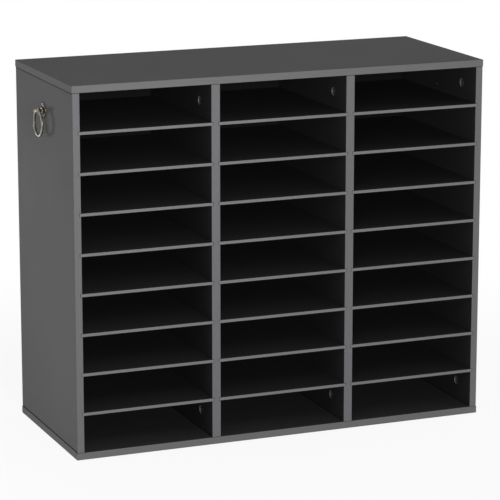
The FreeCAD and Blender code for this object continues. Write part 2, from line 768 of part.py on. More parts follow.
def make_post(side):
    """Turned post: threaded shank in the board, collar, bored knuckle and a round finial."""
    body = new_body(f"{side}_pull_post")
    profile = sketch_on(body, "profile", "XZ_Plane")
    foot = D["rosette_height"]
    collar_top = foot + D["post_collar_height"]
    outline(
        profile,
        [
            (0, -D["post_shank_length"]),
            (D["post_shank_radius"], -D["post_shank_length"]),
            (D["post_shank_radius"], foot),
            (D["post_collar_radius"], foot, right_of(D["post_collar_bulge_radius"])),
            (D["post_collar_radius"], collar_top),
            (D["post_neck_radius"], collar_top),
            (D["post_neck_radius"], D["post_finial_reach"]),
            (0, D["post_finial_reach"]),
        ],
    )
    turn(profile, "turned")
    for name, height, radius in (
        ("knuckle", D["pull_pivot_reach"], D["post_knuckle_radius"]),
        ("finial", D["post_finial_reach"], D["post_finial_radius"]),
    ):
        ball = body.newObject("PartDesign::AdditiveSphere", f"{body.Name}_{name}")
        bind(ball, "Radius", radius)
        bind(ball, "Placement.Base.z", height)
        finish(body, ball)

    thread = sketch_on(body, "thread_bore", "XY_Plane", -D["post_shank_length"])
    circle(thread, 0, 0, D["post_thread_radius"])
    pocket(thread, "thread_bore_cut", D["post_thread_depth"], reverse=True)
    eye = sketch_on(body, "eye", "XZ_Plane")
    circle(eye, 0, D["pull_pivot_reach"], D["ring_wire_radius"] + D["ring_running_gap"])
    pocket(eye, "eye_cut", symmetric=True)
    return lay_on_side(body, side)


def make_ring(side):
    """Round ring whose top runs straight through the post's eye as its pivot pin."""
    body = new_body(f"{side}_pull_ring")
    radius = D["ring_radius"]
    half_pin = D["ring_pin_half_length"]
    path = sketch_on(body, "path", "XY_Plane", D["pull_pivot_reach"])
    pin_ends = (Vector(0, -half_pin.value, 0), Vector(0, half_pin.value, 0))
    bend = path.addGeometry(Part.Arc(pin_ends[0], Vector(radius.value * 2, 0, 0), pin_ends[1]), False)
    pin = path.addGeometry(Part.LineSegment(pin_ends[1], pin_ends[0]), False)
    path.addConstraint(Sketcher.Constraint("Coincident", bend, 2, pin, 1))
    path.addConstraint(Sketcher.Constraint("Coincident", bend, 1, pin, 2))
    pin_point(path, pin, 1, 0, half_pin, "rear_end")
    pin_point(path, pin, 2, 0, -half_pin, "front_end")
    size = path.addConstraint(Sketcher.Constraint("Radius", bend, radius.value))
    path.renameConstraint(size, "bend_radius")
    bind(path, "Constraints.bend_radius", radius)
    section = sketch_on(body, "section", "XZ_Plane")
    circle(section, 0, D["pull_pivot_reach"], D["ring_wire_radius"])
    ring = body.newObject("PartDesign::AdditivePipe", f"{body.Name}_wire")
    ring.Profile = section
    ring.Spine = path
    ring.Transition = "Round corner"
    finish(body, ring)
    return lay_on_side(body, side)


def make_pull_screw(side):
    """Countersunk machine screw: from inside the case through the board into the post's shank."""
    body = new_body(f"{side}_pull_screw")
    profile = sketch_on(body, "profile", "XZ_Plane")
    inner_face = -D["panel_thickness"]
    head = D["pull_screw_head_radius"]
    shank = D["pull_screw_radius"]
    tip = inner_face + D["pull_screw_length"]
    outline(
        profile,
        [
            (0, inner_face),
            (head, inner_face),
            (shank, inner_face + head - shank),
            (shank, tip - shank / 2),
            (shank / 2, tip),
            (0, tip),
        ],
    )
    turn(profile, "turned")
    cross_recess(body, inner_face, D["screw_recess_length"], D["screw_recess_depth"], reverse=True)
    return lay_on_side(body, side)


# --- The whole sorter ---------------------------------------------------------------------------

def make_all():
    nodes = [
        make_flat_board("top_panel", inner_face_up=False),
        make_flat_board("bottom_panel", inner_face_up=True),
    ]
    for label, (left_edge, thickness, cam_face) in upright_places().items():
        nodes.append(make_upright(label, left_edge, thickness, cam_face))
    nodes.append(make_back_panel())
    for column in range(len(COLUMNS)):
        for row in range(SHELVES_PER_COLUMN):
            nodes.append(make_shelf(column, row))
    nodes.extend(make_fittings())
    nodes.append(make_back_screws())
    for side in ("left", "right"):
        nodes.extend(make(side) for make in (make_rosette, make_post, make_ring, make_pull_screw))
    return nodes


def check(nodes):
    """Stop before anything is written if the document or a node is not sound."""
    DOCUMENT.recompute()
    for thing in DOCUMENT.Objects:
        if "Invalid" in thing.State or "Error" in thing.State:
            raise RuntimeError(f"{thing.Name} did not build: {thing.State}")
    for node in nodes:
        if node.Shape.isNull() or not node.Shape.isValid():
            raise RuntimeError(f"{node.Label} has no sound shape")


def export(nodes):
    os.makedirs(PARTS_FOLDER, exist_ok=True)
    for node in nodes:
        node.Shape.exportStep(f"{PARTS_FOLDER}/{node.Label}.step")
        box = node.Shape.BoundBox
        print(
            f"{node.Label}: {len(node.Shape.Solids)} solid(s), {node.Shape.Volume / 1000:.2f} cm3,",
            f"x {box.XMin:.2f} to {box.XMax:.2f}, y {box.YMin:.2f} to {box.YMax:.2f},",
            f"z {box.ZMin:.2f} to {box.ZMax:.2f}",
        )


NODES = make_all()
check(NODES)
export(NODES)
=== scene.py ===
import math

import bpy
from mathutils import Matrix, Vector


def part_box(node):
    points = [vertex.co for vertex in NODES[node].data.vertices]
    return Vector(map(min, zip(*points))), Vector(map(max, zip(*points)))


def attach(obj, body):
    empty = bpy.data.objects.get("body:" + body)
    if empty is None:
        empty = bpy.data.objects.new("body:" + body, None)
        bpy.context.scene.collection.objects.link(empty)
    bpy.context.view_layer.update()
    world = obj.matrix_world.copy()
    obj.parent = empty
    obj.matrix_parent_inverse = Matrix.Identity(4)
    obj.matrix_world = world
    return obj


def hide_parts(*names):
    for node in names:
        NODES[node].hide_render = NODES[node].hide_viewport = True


# Looks of a pigeonhole mail sorter: grey laminated boards with black inner faces, banded edges and
# chipboard cores, black slide-out shelves, a hardboard back, zinc cam locks and brass ring pulls.
# Metres, +X right, +Y back, +Z up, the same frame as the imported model.

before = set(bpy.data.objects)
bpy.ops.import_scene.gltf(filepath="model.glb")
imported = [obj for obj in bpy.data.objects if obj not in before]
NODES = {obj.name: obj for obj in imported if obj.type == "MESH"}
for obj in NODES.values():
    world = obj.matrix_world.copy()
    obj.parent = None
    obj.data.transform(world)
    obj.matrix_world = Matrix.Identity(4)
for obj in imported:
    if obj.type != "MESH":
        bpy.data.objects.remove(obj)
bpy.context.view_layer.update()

# --- Sizes --------------------------------------------------------------------------------------
MM = 0.001
FILM = 0.3 * MM  # a point this near a board's face belongs to its laminate
BAND = 0.8 * MM  # thickness of the edge banding
GLUE_HALF_WIDTH = 0.05 * MM  # of the line between the banding and the core
GLUE_FADED = 0.16 * MM
JOINT_SHADOW_FULL = 2.0 * MM  # an upright has its full painted shadow this near to its ends, where the top and bottom boards meet it
JOINT_SHADOW_GONE = 2.7 * MM
JOINT_SHADOW_SQUEEZE = 2.7  # added to 1, how much narrower that painted shadow line is on the banding
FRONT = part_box("left_side_panel")[0].y
BACK = -FRONT
INNER_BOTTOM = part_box("bottom_panel")[1].z
INNER_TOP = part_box("top_panel")[0].z

CAM_FROM_FRONT = 55 * MM
CAM_FROM_END = 35 * MM
CAM_BELOW_FACE = 0.2 * MM
CAM_DISH_RADIUS = 6.4 * MM
CAM_DISH_DEPTH = 0.9 * MM
CAM_LIP_OUTER = 0.02 * MM  # the dish turns into the rim between these, inside its radius
CAM_LIP_INNER = 0.15 * MM
CAM_TOOL_RING_PITCH = 0.4 * MM

RING_WIRE_RADIUS = 2.0 * MM
RING_RADIUS = 21.5 * MM
RING_HALF_PIN = 4.9 * MM
SCREEN_PITCH = 1.7 * MM  # of the wire screen's imprint in the hardboard

SHELF_NODES = sorted(name for name in NODES if name.startswith("shelf_"))
SIDES = ("left", "right")

# --- Finishes, as linear colours ----------------------------------------------------------------
GREY_LAMINATE = (0.088, 0.088, 0.0895)
BLACK_LAMINATE = (0.0210, 0.0210, 0.0214)
SHELF_FILM = (0.0200, 0.0200, 0.0204)
BLACK_PAINT = (0.0065, 0.0065, 0.0066)
# the bottom board's black film, painted lighter than the other black film: painted light in the lowest
# tray
BOTTOM_FILM_PAINTED_LIGHT = (0.0290, 0.0290, 0.0295)
# grey edge band of the uprights, with a faint bluish tint that is a painted reflection
UPRIGHT_BAND_PAINTED_REFLECTION_TINT = (0.112, 0.112, 0.117)
LEVEL_BAND = (0.110, 0.110, 0.111)
SHELF_BAND = (0.134, 0.134, 0.135)
GLUE_LINE = (0.020, 0.018, 0.016)
# painted shadow along the joints of the uprights with the top and bottom boards
JOINT_PAINTED_SHADOW = (0.012, 0.012, 0.012)
CHIP_DARK = (0.115, 0.070, 0.038)
CHIP_LIGHT = (0.420, 0.300, 0.180)
HARDBOARD_DARK = (0.060, 0.034, 0.019)
HARDBOARD_LIGHT = (0.150, 0.092, 0.052)
ZINC_RIM = (0.28, 0.28, 0.285)
# zinc of the cam's dish, painted dark as shade
ZINC_DISH_PAINTED_SHADE = (0.055, 0.055, 0.056)
STEEL_PLATE = (0.52, 0.52, 0.50)
STEEL_TINT = (0.44, 0.41, 0.33)
BEECH_LIGHT = (0.56, 0.37, 0.21)
BEECH_DARK = (0.40, 0.24, 0.12)
BRASS_BRIGHT = (0.36, 0.335, 0.265)
BRASS_PATINA = (0.018, 0.0165, 0.0125)
WHITE = (1.0, 1.0, 1.0)


# --- Node trees ---------------------------------------------------------------------------------

class Recipe:
    """Fills one node tree. Most methods add a node and give back its output socket."""

    def __init__(self, tree):
        self.tree = tree

    def node(self, kind, inputs=None, **settings):
        node = self.tree.nodes.new(kind)
        for name, value in settings.items():
            setattr(node, name, value)
        for name, value in (inputs or {}).items():
            self.feed(node.inputs[name], value)
        return node

    def add(self, kind, inputs=None, out=0, **settings):
        return self.node(kind, inputs, **settings).outputs[out]

    def feed(self, socket, value):
        if isinstance(value, bpy.types.NodeSocket):
            self.tree.links.new(value, socket)
        elif socket.type == "RGBA" and len(value) == 3:
            socket.default_value = (*value, 1.0)
        else:
            socket.default_value = value

    def group(self, tree, **inputs):
        """Place a shader group and give back its outputs, which are read by name."""
        node = self.tree.nodes.new("ShaderNodeGroup")
        node.node_tree = tree
        for name, value in inputs.items():
            self.feed(node.inputs[name.replace("_", " ").capitalize()], value)
        return node.outputs

    def position(self):
        return self.add("ShaderNodeTexCoord", out="Object")

    def normal(self):
        return self.add("ShaderNodeTexCoord", out="Normal")

    def split(self, vector):
        node = self.tree.nodes.new("ShaderNodeSeparateXYZ")
        self.feed(node.inputs[0], vector)
        return node.outputs

    def math(self, operation, first, second=0.0, clamp=False):
        return self.add("ShaderNodeMath", {0: first, 1: second}, operation=operation, use_clamp=clamp)

    def vector(self, operation, first, second=(0, 0, 0), out=0):
        return self.add("ShaderNodeVectorMath", {0: first, 1: second}, out=out, operation=operation)

    def noise(self, position, scale, detail=2.0, roughness=0.5):
        sizes = {"Vector": position, "Scale": scale, "Detail": detail, "Roughness": roughness}
        return self.add("ShaderNodeTexNoise", sizes)

    def cells(self, position, scale, out="Distance", randomness=1.0):
        sizes = {"Vector": position, "Scale": scale, "Randomness": randomness}
        return self.add("ShaderNodeTexVoronoi", sizes, out=out)

    def ramp(self, value, low, high, to_low=0.0, to_high=1.0):
        """A smooth step of value from low to high."""
        inputs = {
            "Value": value,
            "From Min": low,
            "From Max": high,
            "To Min": to_low,
            "To Max": to_high,
        }
        return self.add("ShaderNodeMapRange", inputs, interpolation_type="SMOOTHSTEP")

    def mix(self, share, first, second, blend="MIX"):
        inputs = {0: share, 6: first, 7: second}
        return self.add("ShaderNodeMix", inputs, out=2, data_type="RGBA", blend_type=blend)

    def shade(self, colour, factor):
        """A colour or another vector, with all its parts times one factor."""
        grey = self.add("ShaderNodeCombineXYZ", {axis: factor for axis in range(3)})
        return self.vector("MULTIPLY", colour, grey)

    def centred(self, value, share):
        """A texture value moved to lie about 0 and scaled."""
        return self.math("MULTIPLY", self.math("SUBTRACT", value, 0.5), share)


def new_group(name, kind, inputs, outputs):
    """An empty node group with named sockets: its recipe, what it is given and where results go."""
    tree = bpy.data.node_groups.new(name, kind)
    for label, socket_type, value in inputs:
        socket = tree.interface.new_socket(label, in_out="INPUT", socket_type=socket_type)
        if value is not None:
            socket.default_value = value
    for label, socket_type in outputs:
        tree.interface.new_socket(label, in_out="OUTPUT", socket_type=socket_type)
    given = tree.nodes.new("NodeGroupInput").outputs
    result = tree.nodes.new("NodeGroupOutput").inputs
    return Recipe(tree), given, result


def new_material(name):
    material = bpy.data.materials.new(name)
    material.use_nodes = True
    material.node_tree.nodes.clear()
    return material, Recipe(material.node_tree)


def finish_surface(recipe, colour, roughness, height=None, relief=0.0, **uniform):
    """The shader and output of a material, with a bump of the given relief where it has one."""
    inputs = {"Base Color": colour, "Roughness": roughness}
    inputs.update({name.replace("_", " "): value for name, value in uniform.items()})
    if height is not None:
        inputs["Normal"] = recipe.add("ShaderNodeBump", {"Height": height, "Distance": relief})
    shader = recipe.add("ShaderNodeBsdfPrincipled", inputs)
    recipe.node("ShaderNodeOutputMaterial", {"Surface": shader})


# --- Shared effects -----------------------------------------------------------------------------

def floats(*names):
    return [(name, "NodeSocketFloat") for name in names]


def make_board_zones():
    """Which skin a point of a board has: a face film, the edge band, the glue line or the core; and
    the painted shadow at an upright's ends.
    """
    recipe, given, result = new_group(
        "board_zones",
        "ShaderNodeTree",
        [
            ("Position", "NodeSocketVector", None),
            ("Low corner", "NodeSocketVector", (0, 0, 0)),
            ("High corner", "NodeSocketVector", (1, 1, 1)),
            ("Thin axis", "NodeSocketVector", (0, 0, 1)),
            ("Banded ends", "NodeSocketFloat", 0.0),
        ],
        floats("Low face", "High face", "Band", "Glue", "Core", "Painted joint shadow"),
    )
    from_low = recipe.vector("SUBTRACT", given["Position"], given["Low corner"])
    from_high = recipe.vector("SUBTRACT", given["High corner"], given["Position"])
    low_depth = recipe.vector("DOT_PRODUCT", from_low, given["Thin axis"], out="Value")
    high_depth = recipe.vector("DOT_PRODUCT", from_high, given["Thin axis"], out="Value")
    low_face = recipe.math("LESS_THAN", low_depth, FILM)
    high_face = recipe.math("LESS_THAN", high_depth, FILM)

    from_front = recipe.split(from_low)["Y"]
    from_end = recipe.math("MINIMUM", recipe.split(from_low)["X"], recipe.split(from_high)["X"])
    far_away = recipe.math("SUBTRACT", 1.0, given["Banded ends"])
    from_banded_end = recipe.math("ADD", from_end, far_away)
    from_edge = recipe.math("MINIMUM", from_front, from_banded_end)
    band = recipe.math("LESS_THAN", from_edge, BAND)
    seam = recipe.math("ABSOLUTE", recipe.math("SUBTRACT", from_edge, BAND))
    glue = recipe.ramp(seam, GLUE_HALF_WIDTH, GLUE_FADED, 1.0, 0.0)
    skinned = recipe.math("MAXIMUM", recipe.math("MAXIMUM", low_face, high_face), band)
    # how near a point is to the ends of an upright, where the painted shadow of the joint falls
    from_joint = recipe.math("MINIMUM", recipe.split(from_low)["Z"], recipe.split(from_high)["Z"])
    narrowing = recipe.math("ADD", 1.0, recipe.math("MULTIPLY", band, JOINT_SHADOW_SQUEEZE))
    narrowed = recipe.math("MULTIPLY", from_joint, narrowing)

    recipe.feed(result["Low face"], low_face)
    recipe.feed(result["High face"], high_face)
    recipe.feed(result["Band"], band)
    recipe.feed(result["Glue"], glue)
    recipe.feed(result["Core"], recipe.math("SUBTRACT", 1.0, skinned))
    recipe.feed(result["Painted joint shadow"], recipe.ramp(narrowed, JOINT_SHADOW_FULL, JOINT_SHADOW_GONE, 1.0, 0.0))
    return recipe.tree


def make_melamine():
    """Pressed melamine film: fine pearled relief, faint clouding and a few light rubs."""
    recipe, given, result = new_group(
        "melamine",
        "ShaderNodeTree",
        [
            ("Position", "NodeSocketVector", None),
            ("Clouding", "NodeSocketFloat", 0.06),
            ("Rubs", "NodeSocketFloat", 0.5),
            ("Gloss roughness", "NodeSocketFloat", 0.5),
        ],
        floats("Shade", "Roughness", "Height"),
    )
    place = given["Position"]
    rub_stretch = (40.0, 260.0, 40.0)
    speckle_share = 0.10
    haze_share = 0.10
    rub_lightening = 0.10
    rub_polish = -0.12
    pearl_share = 0.7

    cloud = recipe.noise(place, scale=7.0, detail=3.0, roughness=0.6)
    speckle = recipe.noise(place, scale=900.0)
    pearl = recipe.cells(place, scale=1100.0)
    streaks = recipe.noise(recipe.vector("MULTIPLY", place, rub_stretch), scale=1.0)
    patches = recipe.ramp(recipe.noise(place, scale=11.0), 0.52, 0.68)
    rubs = recipe.math("MULTIPLY", recipe.ramp(streaks, 0.60, 0.72), patches)
    rubs = recipe.math("MULTIPLY", rubs, given["Rubs"])

    spread = recipe.centred(cloud, given["Clouding"])
    fine = recipe.centred(speckle, speckle_share)
    shade = recipe.math("ADD", recipe.math("ADD", spread, fine), 1.0)
    lightened = recipe.math("MULTIPLY", rubs, rub_lightening)
    recipe.feed(result["Shade"], recipe.math("ADD", shade, lightened))
    polish = recipe.math("MULTIPLY", rubs, rub_polish)
    haze = recipe.centred(cloud, haze_share)
    roughness = recipe.math("ADD", recipe.math("ADD", given["Gloss roughness"], polish), haze)
    recipe.feed(result["Roughness"], roughness)
    relief = recipe.math("ADD", recipe.math("MULTIPLY", pearl, pearl_share), speckle)
    recipe.feed(result["Height"], relief)
    return recipe.tree


def make_chipboard():
    """Raw chipboard: flat glued chips of mixed colour, with small hollows between them."""
    recipe, given, result = new_group(
        "chipboard",
        "ShaderNodeTree",
        [
            ("Position", "NodeSocketVector", None),
            ("Chip lie", "NodeSocketVector", (1, 1, 1)),
        ],
        [("Color", "NodeSocketColor"), ("Height", "NodeSocketFloat")],
    )
    chips_per_metre = 420.0
    chip_wobble = (1.5 * MM, 1.5 * MM, 1.5 * MM)
    laid = recipe.vector("MULTIPLY", given["Position"], given["Chip lie"])
    wobble = recipe.noise(laid, scale=500.0, roughness=0.6)
    moved = recipe.vector("ADD", laid, recipe.shade(chip_wobble, wobble))
    chip = recipe.cells(moved, chips_per_metre, out="Color")
    border = recipe.cells(moved, chips_per_metre)
    tone = recipe.split(chip)["X"]
    dust = recipe.noise(given["Position"], scale=2200.0, roughness=0.6)
    colour = recipe.mix(tone, CHIP_DARK, CHIP_LIGHT)
    colour = recipe.shade(colour, recipe.ramp(dust, 0.2, 0.8, 0.75, 1.2))
    recipe.feed(result["Color"], recipe.shade(colour, recipe.ramp(border, 0.35, 0.75, 1.0, 0.55)))
    recipe.feed(result["Height"], recipe.math("ADD", recipe.ramp(border, 0.3, 0.8, 1.0, 0.0), dust))
    return recipe.tree


def make_rub_lines():
    """Faint parallel lines left along a strip by the trimming cutter."""
    recipe, given, result = new_group(
        "rub_lines",
        "ShaderNodeTree",
        [("Position", "NodeSocketVector", None), ("Across", "NodeSocketVector", (1, 1, 1))],
        floats("Shade", "Height"),
    )
    line_share = 0.7
    grain_share = 0.3
    stretched = recipe.vector("MULTIPLY", given["Position"], given["Across"])
    lines = recipe.noise(stretched, scale=1.0, detail=3.0, roughness=0.6)
    grain = recipe.noise(given["Position"], scale=1300.0)
    cuts = recipe.math("MULTIPLY", lines, line_share)
    both = recipe.math("ADD", cuts, recipe.math("MULTIPLY", grain, grain_share))
    recipe.feed(result["Shade"], recipe.ramp(both, 0.25, 0.75, 0.95, 1.05))
    recipe.feed(result["Height"], both)
    return recipe.tree


def make_metal_wear():
    """Worn metal: a mask of rubbed high places, tarnish in the hollows, and fine scratches."""
    recipe, given, result = new_group(
        "metal_wear",
        "ShaderNodeTree",
        [
            ("Position", "NodeSocketVector", None),
            ("Grain size", "NodeSocketFloat", 600.0),
            ("Rubbed from", "NodeSocketFloat", 0.48),
            ("Rubbed to", "NodeSocketFloat", 0.56),
        ],
        floats("Rubbed", "Tarnish", "Height"),
    )
    uneven_rubbing = 0.12
    scratch_stretch = (900.0, 5200.0, 2600.0)
    scratch_share = 0.5
    pointiness = recipe.add("ShaderNodeNewGeometry", out="Pointiness")
    blotch = recipe.noise(given["Position"], given["Grain size"], detail=4.0, roughness=0.65)
    broken = recipe.math("ADD", pointiness, recipe.centred(blotch, uneven_rubbing))
    rubbed = recipe.ramp(broken, given["Rubbed from"], given["Rubbed to"])
    recipe.feed(result["Rubbed"], rubbed)
    recipe.feed(result["Tarnish"], recipe.ramp(blotch, 0.35, 0.70))
    scratch_space = recipe.vector("MULTIPLY", given["Position"], scratch_stretch)
    scratches = recipe.math("MULTIPLY", recipe.noise(scratch_space, scale=1.0), scratch_share)
    recipe.feed(result["Height"], recipe.math("ADD", blotch, scratches))
    return recipe.tree


BOARD_ZONES = make_board_zones()
MELAMINE = make_melamine()
CHIPBOARD = make_chipboard()
RUB_LINES = make_rub_lines()
METAL_WEAR = make_metal_wear()


# --- Materials ----------------------------------------------------------------------------------

def board_finish(node, thin_axis, black_faces, black_film=BLACK_LAMINATE, banded_ends=False):
    """A laminated board: grey or black film on each face, grey band on the seen edges, bare core.

    The uprights carry a painted shadow at their ends, where they meet the top and bottom boards.
    """
    along_grain = 25.0
    across_grain = 2600.0
    core_roughness = 0.4
    low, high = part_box(node)
    material, recipe = new_material(f"{node}_laminate")
    position = recipe.position()
    zones = recipe.group(
        BOARD_ZONES,
        position=position,
        low_corner=low,
        high_corner=high,
        thin_axis=thin_axis,
        banded_ends=float(banded_ends),
    )
    film = recipe.group(MELAMINE, position=position, clouding=0.06, rubs=0.5, gloss_roughness=0.72)
    level_lines = (along_grain, across_grain, across_grain)
    upright_lines = (across_grain, across_grain, along_grain)
    lines = upright_lines if thin_axis[0] else level_lines
    band = recipe.group(RUB_LINES, position=position, across=lines)
    flat_chips = tuple(3.0 if part else 1.0 for part in thin_axis)
    core = recipe.group(CHIPBOARD, position=position, chip_lie=flat_chips)

    black = 0.0
    for side in black_faces:
        black = recipe.math("ADD", black, zones[f"{side} face"])
    colour = recipe.shade(recipe.mix(black, GREY_LAMINATE, black_film), film["Shade"])
    colour = recipe.mix(zones["Core"], colour, core["Color"])
    # the uprights' band carries a faint bluish painted reflection tint; the level boards' band is
    # neutral
    band_colour = UPRIGHT_BAND_PAINTED_REFLECTION_TINT if thin_axis[0] else LEVEL_BAND
    colour = recipe.mix(zones["Band"], colour, recipe.shade(band_colour, band["Shade"]))
    colour = recipe.mix(zones["Glue"], colour, GLUE_LINE)
    # painted shadow along the ends of the uprights, at their joints with the top and bottom boards
    if thin_axis[0]:
        colour = recipe.mix(zones["Painted joint shadow"], colour, JOINT_PAINTED_SHADOW)
    rough_core = recipe.math("MULTIPLY", zones["Core"], core_roughness)
    roughness = recipe.math("ADD", film["Roughness"], rough_core, clamp=True)
    height = recipe.mix(zones["Core"], film["Height"], core["Height"])
    height = recipe.mix(zones["Band"], height, band["Height"])
    finish_surface(recipe, colour, roughness, height, 0.06 * MM, Specular_IOR_Level=0.05)
    return material


def shelf_finish():
    """Thin board: black film on both faces, a grey band in front and bare fibre at the other edges."""
    band_lines = (25.0, 2600.0, 2600.0)
    pressed_flat = (1.0, 1.0, 5.0)
    level_enough = 0.9  # a face that looks up or down this much has the film on it
    material, recipe = new_material("shelf_film")
    position = recipe.position()
    film = recipe.group(MELAMINE, position=position, clouding=0.10, rubs=0.8, gloss_roughness=0.72)
    band = recipe.group(RUB_LINES, position=position, across=band_lines)
    layers = recipe.vector("MULTIPLY", position, pressed_flat)
    fibre = recipe.noise(layers, scale=700.0, detail=4.0, roughness=0.7)
    level = recipe.math("ABSOLUTE", recipe.split(recipe.normal())["Z"])
    face = recipe.math("GREATER_THAN", level, level_enough)
    from_front = recipe.math("SUBTRACT", recipe.split(position)["Y"], FRONT)
    front = recipe.math("LESS_THAN", from_front, BAND / 2)
    edge = recipe.mix(fibre, HARDBOARD_DARK, HARDBOARD_LIGHT)
    colour = recipe.mix(face, edge, recipe.shade(SHELF_FILM, film["Shade"]))
    colour = recipe.mix(front, colour, recipe.shade(SHELF_BAND, band["Shade"]))
    height = recipe.mix(front, recipe.mix(face, fibre, film["Height"]), band["Height"])
    finish_surface(recipe, colour, film["Roughness"], height, 0.05 * MM, Specular_IOR_Level=0.03)
    return material


def hardboard_finish():
    """Hardboard back: black paint in front, bare brown fibre with a screen imprint behind."""
    fibre_lie = (1.0, 1.0, 1.6)
    bare_roughness = 0.2
    fibre_share = 0.8
    turns = 2 * math.pi / SCREEN_PITCH
    low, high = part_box("back_panel")
    middle = (low.y + high.y) / 2
    material, recipe = new_material("back_board_fibre")
    position = recipe.position()
    axes = recipe.split(position)
    behind = recipe.math("GREATER_THAN", axes["Y"], middle)
    laid = recipe.vector("MULTIPLY", position, fibre_lie)
    fibre = recipe.noise(laid, scale=900.0, detail=5.0, roughness=0.7)
    cloud = recipe.noise(position, scale=14.0, detail=3.0, roughness=0.6)
    warp = recipe.math("SINE", recipe.math("MULTIPLY", axes["X"], turns))
    weft = recipe.math("SINE", recipe.math("MULTIPLY", axes["Z"], turns))
    screen = recipe.math("MULTIPLY", warp, weft)
    brown = recipe.mix(recipe.ramp(fibre, 0.3, 0.7), HARDBOARD_DARK, HARDBOARD_LIGHT)
    brown = recipe.shade(brown, recipe.ramp(cloud, 0.3, 0.7, 0.88, 1.10))
    brown = recipe.shade(brown, recipe.ramp(screen, -1.0, 1.0, 0.94, 1.05))
    film = recipe.group(MELAMINE, position=position, clouding=0.12, rubs=0.3, gloss_roughness=0.75)
    colour = recipe.mix(behind, recipe.shade(BLACK_PAINT, film["Shade"]), brown)
    rough_rear = recipe.math("MULTIPLY", behind, bare_roughness)
    roughness = recipe.math("ADD", film["Roughness"], rough_rear, clamp=True)
    rear_height = recipe.math("ADD", screen, recipe.math("MULTIPLY", fibre, fibre_share))
    height = recipe.mix(behind, film["Height"], rear_height)
    finish_surface(recipe, colour, roughness, height, 0.08 * MM, Specular_IOR_Level=0.02)
    return material


def metal_finish(name, bright, dull, grain_size, rubbed, roughness, relief):
    """Cast, plated or turned metal: bright where it is rubbed, dull and rougher elsewhere."""
    tarnished_share = 0.72
    material, recipe = new_material(name)
    wear = recipe.group(
        METAL_WEAR,
        position=recipe.position(),
        grain_size=grain_size,
        rubbed_from=rubbed[0],
        rubbed_to=rubbed[1],
    )
    clean = recipe.ramp(wear["Tarnish"], 0.0, 1.0, 1.0, tarnished_share)
    share = recipe.math("MULTIPLY", wear["Rubbed"], clean)
    colour = recipe.mix(share, dull, bright)
    rough = recipe.ramp(share, 0.0, 1.0, roughness[0], roughness[1])
    finish_surface(recipe, colour, rough, wear["Height"], relief, Metallic=1.0)
    return material


def cam_finish():
    """Die-cast zinc cams: a dish painted dark as shade, with fine rings from the tool, inside a bright
    rubbed rim.
    """
    dish_roughness = 0.55
    rim_roughness = 0.36
    tool_ring_share = 0.3
    lip_inner = CAM_DISH_RADIUS - CAM_LIP_INNER
    lip_outer = CAM_DISH_RADIUS - CAM_LIP_OUTER
    material, recipe = new_material("die_cast_zinc")
    position = recipe.position()
    axes = recipe.split(position)
    case_middle = (INNER_BOTTOM + INNER_TOP) / 2
    cam_depth = BACK - CAM_FROM_FRONT
    cam_height = INNER_TOP - CAM_FROM_END - case_middle
    from_middle = recipe.math("ABSOLUTE", recipe.math("SUBTRACT", axes["Z"], case_middle))
    across = recipe.math("SUBTRACT", recipe.math("ABSOLUTE", axes["Y"]), cam_depth)
    along = recipe.math("SUBTRACT", from_middle, cam_height)
    offset = recipe.add("ShaderNodeCombineXYZ", {"Y": across, "Z": along})
    radius = recipe.vector("LENGTH", offset, out="Value")
    rim = recipe.ramp(radius, lip_inner, lip_outer)
    turns = 2 * math.pi / CAM_TOOL_RING_PITCH
    rings = recipe.math("SINE", recipe.math("MULTIPLY", radius, turns))
    wear = recipe.group(
        METAL_WEAR,
        position=position,
        grain_size=700.0,
        rubbed_from=0.42,
        rubbed_to=0.60,
    )
    # the dish: zinc painted dark as shade, varied by tarnish
    shaded_dish = recipe.shade(ZINC_DISH_PAINTED_SHADE, recipe.ramp(wear["Tarnish"], 0.0, 1.0, 1.25, 0.75))
    bright_rim = recipe.shade(ZINC_RIM, recipe.ramp(wear["Rubbed"], 0.0, 1.0, 0.7, 1.05))
    colour = recipe.mix(rim, shaded_dish, bright_rim)
    roughness = recipe.ramp(rim, 0.0, 1.0, dish_roughness, rim_roughness)
    tool_rings = recipe.math("MULTIPLY", rings, tool_ring_share)
    height = recipe.math("ADD", wear["Height"], tool_rings)
    finish_surface(recipe, colour, roughness, height, 0.03 * MM, Metallic=0.5)
    return material


def beech_finish():
    """Bare beech: straight grain along the dowel with short dark flecks."""
    grain_stretch = (900.0, 900.0, 60.0)
    fleck_stretch = (2400.0, 2400.0, 420.0)
    material, recipe = new_material("dowel_beech")
    position = recipe.position()
    along_grain = recipe.vector("MULTIPLY", position, grain_stretch)
    grain = recipe.noise(along_grain, scale=1.0, detail=4.0, roughness=0.6)
    flecks = recipe.noise(recipe.vector("MULTIPLY", position, fleck_stretch), scale=1.0)
    colour = recipe.mix(recipe.ramp(grain, 0.3, 0.7), BEECH_DARK, BEECH_LIGHT)
    colour = recipe.shade(colour, recipe.ramp(flecks, 0.60, 0.72, 1.0, 0.6))
    finish_surface(recipe, colour, recipe.ramp(grain, 0.3, 0.7, 0.65, 0.75), grain, 0.05 * MM)
    return material


def dress(node, material):
    """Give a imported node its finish."""
    for slot in NODES[node].material_slots:
        slot.material = material


def brass_finish(name, rubbed, roughness, relief):
    grain_size = 420.0
    return metal_finish(name, BRASS_BRIGHT, BRASS_PATINA, grain_size, rubbed, roughness, relief)


